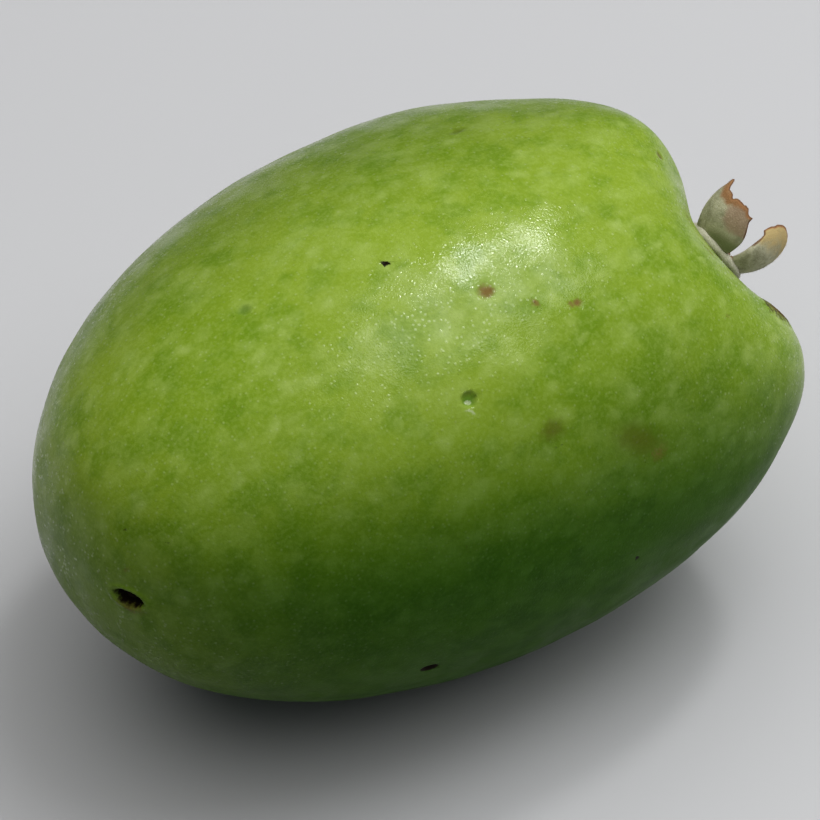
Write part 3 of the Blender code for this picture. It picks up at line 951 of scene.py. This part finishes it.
def patches(tree, place_socket, size, detail, roughness, scale=(1.0, 1.0, 1.0)):
    """Noise with patches of about that size in millimetres, on places in metres."""
    mapping = add_node(tree, "ShaderNodeMapping", {"Scale": tuple(s / (size * MM) for s in scale)})
    tree.links.new(place_socket, mapping.inputs["Vector"])
    node = add_node(tree, "ShaderNodeTexNoise", {"Scale": 1.0, "Detail": detail, "Roughness": roughness})
    tree.links.new(mapping.outputs["Vector"], node.inputs["Vector"])
    return node.outputs["Fac"]


def pebbles(tree, place_socket, size, reach):
    """Scattered round grains, 0 between them and up to 1 on them, about that far apart in millimetres."""
    mapping = add_node(tree, "ShaderNodeMapping", {"Scale": (1.0 / (size * MM),) * 3})
    tree.links.new(place_socket, mapping.inputs["Vector"])
    cells = add_node(tree, "ShaderNodeTexVoronoi", {"Scale": 1.0})
    tree.links.new(mapping.outputs["Vector"], cells.inputs["Vector"])
    grain = ramp_value(tree, cells.outputs["Distance"], reach, 0.0)
    parts = add_node(tree, "ShaderNodeSeparateColor")
    tree.links.new(cells.outputs["Color"], parts.inputs["Color"])
    return times(tree, grain, ramp_value(tree, parts.outputs[0], 0.05, 1.0))


def stretched(tree, place_socket):
    """Places pushed about by a soft noise and drawn out along the fruit."""
    push = add_node(tree, "ShaderNodeTexNoise", {"Scale": 1.0 / (1.6 * MM), "Detail": 1.0})
    tree.links.new(place_socket, push.inputs["Vector"])
    centred = add_node(tree, "ShaderNodeVectorMath", {1: (0.5, 0.5, 0.5)}, operation="SUBTRACT")
    tree.links.new(push.outputs["Color"], centred.inputs[0])
    scaled = add_node(tree, "ShaderNodeVectorMath", {"Scale": 1.5 * MM}, operation="SCALE")
    tree.links.new(centred.outputs[0], scaled.inputs[0])
    moved = add_node(tree, "ShaderNodeVectorMath", operation="ADD")
    tree.links.new(place_socket, moved.inputs[0])
    tree.links.new(scaled.outputs[0], moved.inputs[1])
    drawn = add_node(tree, "ShaderNodeVectorMath", {1: (0.75, 1.0, 1.0)}, operation="MULTIPLY")
    tree.links.new(moved.outputs[0], drawn.inputs[0])
    return drawn.outputs[0]


def make_grain_group():
    """Fine irregular grain, shared by the skin and the dry calyx: a height and a mottle around one half."""
    group = bpy.data.node_groups.new("fine_grain", "ShaderNodeTree")
    group.interface.new_socket("Place", in_out="INPUT", socket_type="NodeSocketVector")
    for name, value in (("Size", 0.3), ("Height", 0.02), ("Contrast", 1.0)):
        group.interface.new_socket(name, in_out="INPUT", socket_type="NodeSocketFloat").default_value = value
    for name in ("Height", "Mottle"):
        group.interface.new_socket(name, in_out="OUTPUT", socket_type="NodeSocketFloat")
    ends = add_node(group, "NodeGroupInput"), add_node(group, "NodeGroupOutput")
    steps = calculate(group, "DIVIDE", 1.0 / MM, ends[0].outputs["Size"])
    scaled = add_node(group, "ShaderNodeVectorMath", operation="SCALE")
    group.links.new(ends[0].outputs["Place"], scaled.inputs[0])
    group.links.new(steps, scaled.inputs["Scale"])
    speckle = add_node(group, "ShaderNodeTexNoise", {"Scale": 1.0, "Detail": 2.0, "Roughness": 0.6})
    group.links.new(scaled.outputs[0], speckle.inputs["Vector"])
    centred = calculate(group, "SUBTRACT", speckle.outputs["Fac"], 0.5)
    group.links.new(times(group, speckle.outputs["Fac"], ends[0].outputs["Height"]),
                    ends[1].inputs["Height"])
    spread = times(group, centred, ends[0].outputs["Contrast"])
    group.links.new(plus(group, spread, 0.5), ends[1].inputs["Mottle"])
    return group


def grain_node(tree, place_socket, size, height, contrast):
    """The shared grain with one material's own values, in millimetres."""
    node = add_node(tree, "ShaderNodeGroup", node_tree=bpy.data.node_groups["fine_grain"])
    tree.links.new(place_socket, node.inputs["Place"])
    for name, value in (("Size", size), ("Height", height), ("Contrast", contrast)):
        node.inputs[name].default_value = value
    return node


def bumped(tree, height):
    """Normal of a height in millimetres."""
    bump = add_node(tree, "ShaderNodeBump", {"Strength": 1.0, "Distance": MM})
    tree.links.new(height, bump.inputs["Height"])
    return bump.outputs["Normal"]


def laid_over(tree, base, mask, share, colour, kind="MIX"):
    """A colour laid over the base where the mask is, at most at that share."""
    return blend_colour(tree, times(tree, mask, share), base, colour, kind)


def skin_pattern(tree, place_socket, middle, pebble):
    """Greens of the skin, in patches and streaks from large to tiny."""
    broad = ramp_value(tree, patches(tree, place_socket, 20.0, 2.0, 0.5), 0.38, 0.62)
    streaks = patches(tree, place_socket, 2.3, 2.0, 0.5, scale=(0.70, 1.0, 1.0))
    blobs = pebbles(tree, stretched(tree, place_socket), 1.7, 0.60)
    tiny = patches(tree, place_socket, 0.35, 1.0, 0.5)
    lines = patches(tree, place_socket, 1.5, 2.0, 0.5, scale=(0.20, 1.0, 1.0))
    shoulder = ramp_value(tree, attribute(tree, "toward_calyx"), 0.45, 0.95)
    lines = times(tree, ramp_value(tree, lines, 0.44, 0.66), shoulder)
    base = blend_colour(tree, broad, *SKIN_GREENS)
    base = laid_over(tree, base, ramp_value(tree, middle, 0.56, 0.34), 0.52, DARK_PATCH)
    base = laid_over(tree, base, ramp_value(tree, streaks, 0.46, 0.72), 0.42, PALE_STREAK)
    base = laid_over(tree, base, blobs, 0.60, PALE_BLOB)
    base = laid_over(tree, base, pebble, 0.40, PORE)
    base = laid_over(tree, base, ramp_value(tree, tiny, 0.40, 0.70), 0.18, SPECK)
    return laid_over(tree, base, lines, 0.22, SHOULDER_LINE)


def skin_sides(tree, base, middle):
    """Painted shade on the near lower side and on the far side, and a cloudy bloom around the calyx."""
    base = laid_over(tree, base, attribute(tree, "shade_side"), 0.95, SHADED, "MULTIPLY")
    base = blend_colour(tree, attribute(tree, "far_shade_side"), base, FAR_SHADE, "MULTIPLY")
    cloudy = times(tree, ramp_value(tree, middle, 0.30, 0.70), 0.65)
    bloom = times(tree, attribute(tree, "near_calyx"), 0.78)
    bloom = times(tree, bloom, plus(tree, 0.35, cloudy))
    return blend_colour(tree, bloom, base, BLOOM)


def skin_marks(tree, base, place_socket):
    """Tints of the marks with frayed edges, and the painted glints in the crater."""
    flecked = patches(tree, place_socket, 0.26, 3.0, 0.65)
    frayed = calculate(tree, "SUBTRACT", flecked, 0.5)
    for name, (colour, share, spread) in TINT_LOOKS.items():
        strength = attribute(tree, name)
        if spread:
            strength = ramp_value(tree, plus(tree, strength, frayed), *spread)
        base = laid_over(tree, base, strength, share, colour)
    # Painted glints: pale flecks on the crater's lower side
    glint_strength = ramp_value(tree, plus(tree, attribute(tree, "crater_glints"), frayed), 0.30, 0.95)
    return laid_over(tree, base, glint_strength, 0.65, CRATER_GLINT)


def skin_roughness(tree, place_socket):
    """Softly uneven satin, duller on the brown marks."""
    wax = ramp_value(tree, patches(tree, place_socket, 5.0, 3.0, 0.6), 0.35, 0.68)
    satin = plus(tree, 0.36, times(tree, wax, 0.16))
    return plus(tree, times(tree, attribute(tree, "rust"), 0.4), satin)


def skin_wax(tree, place_socket, pebble):
    """Share of clear wax: rubbed patches and small round glints, but none on marks or in the shade."""
    marked = calculate(tree, "MAXIMUM", attribute(tree, "rust"), attribute(tree, "blackish_and_shade"))
    clean = calculate(tree, "SUBTRACT", 1.0, marked, clamp=True)
    shaded = times(tree, attribute(tree, "shade_side"), 0.95)
    clean = times(tree, clean, calculate(tree, "SUBTRACT", 1.0, shaded))
    rubbed = ramp_value(tree, patches(tree, place_socket, 3.6, 2.0, 0.5), 0.38, 0.64)
    film = plus(tree, 0.26, times(tree, rubbed, 0.36))
    dots = times(tree, ramp_value(tree, pebble, 0.0, 0.35), 1.2)
    return times(tree, clean, plus(tree, film, dots), clamp=True)


def skin_material():
    """Waxy green skin with pale and dark patches, tiny pores and the marks' tints."""
    material, tree, shader = new_material("feijoa_skin", 0.42)
    place_socket = add_node(tree, "ShaderNodeTexCoord").outputs["Object"]
    middle = patches(tree, place_socket, 3.4, 3.0, 0.55, scale=(0.85, 1.0, 1.0))
    pebble = pebbles(tree, place_socket, 0.46, 0.40)
    base = skin_pattern(tree, place_socket, middle, pebble)
    base = skin_sides(tree, base, middle)
    base = skin_marks(tree, base, place_socket)
    tree.links.new(base, shader.inputs["Base Color"])
    grain = grain_node(tree, place_socket, 0.20, 0.020, 1.5)
    height = plus(tree, times(tree, pebble, 0.012), grain.outputs["Height"])
    normal = bumped(tree, height)
    tree.links.new(normal, shader.inputs["Normal"])
    tree.links.new(normal, shader.inputs["Coat Normal"])
    tree.links.new(skin_roughness(tree, place_socket), shader.inputs["Roughness"])
    tree.links.new(skin_wax(tree, place_socket, pebble), shader.inputs["Coat Weight"])
    shader.inputs["Coat Roughness"].default_value = 0.14
    shader.inputs["Specular IOR Level"].default_value = 0.08
    return material


def dry_material(name):
    """Dry felted skin: grey-green with a darker root that is partly painted shade, a pink-brown flush and a
    rust-brown torn end.
    """
    material, tree, shader = new_material(name, 0.85)
    colours = DRY_COLOURS[name]
    place_socket = add_node(tree, "ShaderNodeTexCoord").outputs["Object"]
    cloudy = patches(tree, place_socket, 1.3, 3.0, 0.6)
    grain = grain_node(tree, place_socket, 0.16, 0.055, 2.2)
    base = blend_colour(tree, ramp_value(tree, cloudy, 0.35, 0.65), colours["dark"], colours["pale"])
    mottle = times(tree, grain.outputs["Mottle"], 0.30, clamp=True)
    base = blend_colour(tree, mottle, base, colours["felt"])
    uneven = times(tree, calculate(tree, "SUBTRACT", cloudy, 0.5), 1.3)
    for zone, (low, high, share) in ZONE_LOOKS.items():
        strength = plus(tree, attribute(tree, zone), uneven)
        base = laid_over(tree, base, ramp_value(tree, strength, low, high), share, colours[zone])
    tree.links.new(base, shader.inputs["Base Color"])
    tree.links.new(bumped(tree, grain.outputs["Height"]), shader.inputs["Normal"])
    return material


def floor_material():
    """Pale matt floor."""
    material, tree, shader = new_material("pale_floor", 0.6)
    shader.inputs["Base Color"].default_value = (0.42, 0.42, 0.43, 1.0)
    return material


make_camera()
make_light()
make_grain_group()
make_floor(floor_material())
make_fruit(skin_material())

felt, pale_felt, disc, hair = (dry_material(name) for name in DRY_COLOURS)
hair_tree = make_hair_tree()
ring = make_ring(pale_felt)
grow_hairs("ring_hairs", ring, hair_tree, hair, Seed=3, **RING_HAIRS)
make_disc(disc)
make_stub(disc)
for order, (sepal_name, sepal_sizes) in enumerate(SEPALS.items()):
    blade = make_sepal(sepal_name, sepal_sizes, felt)
    grow_hairs("hairs_" + sepal_name, blade, hair_tree, hair, Seed=11 + order, **SEPAL_HAIRS)
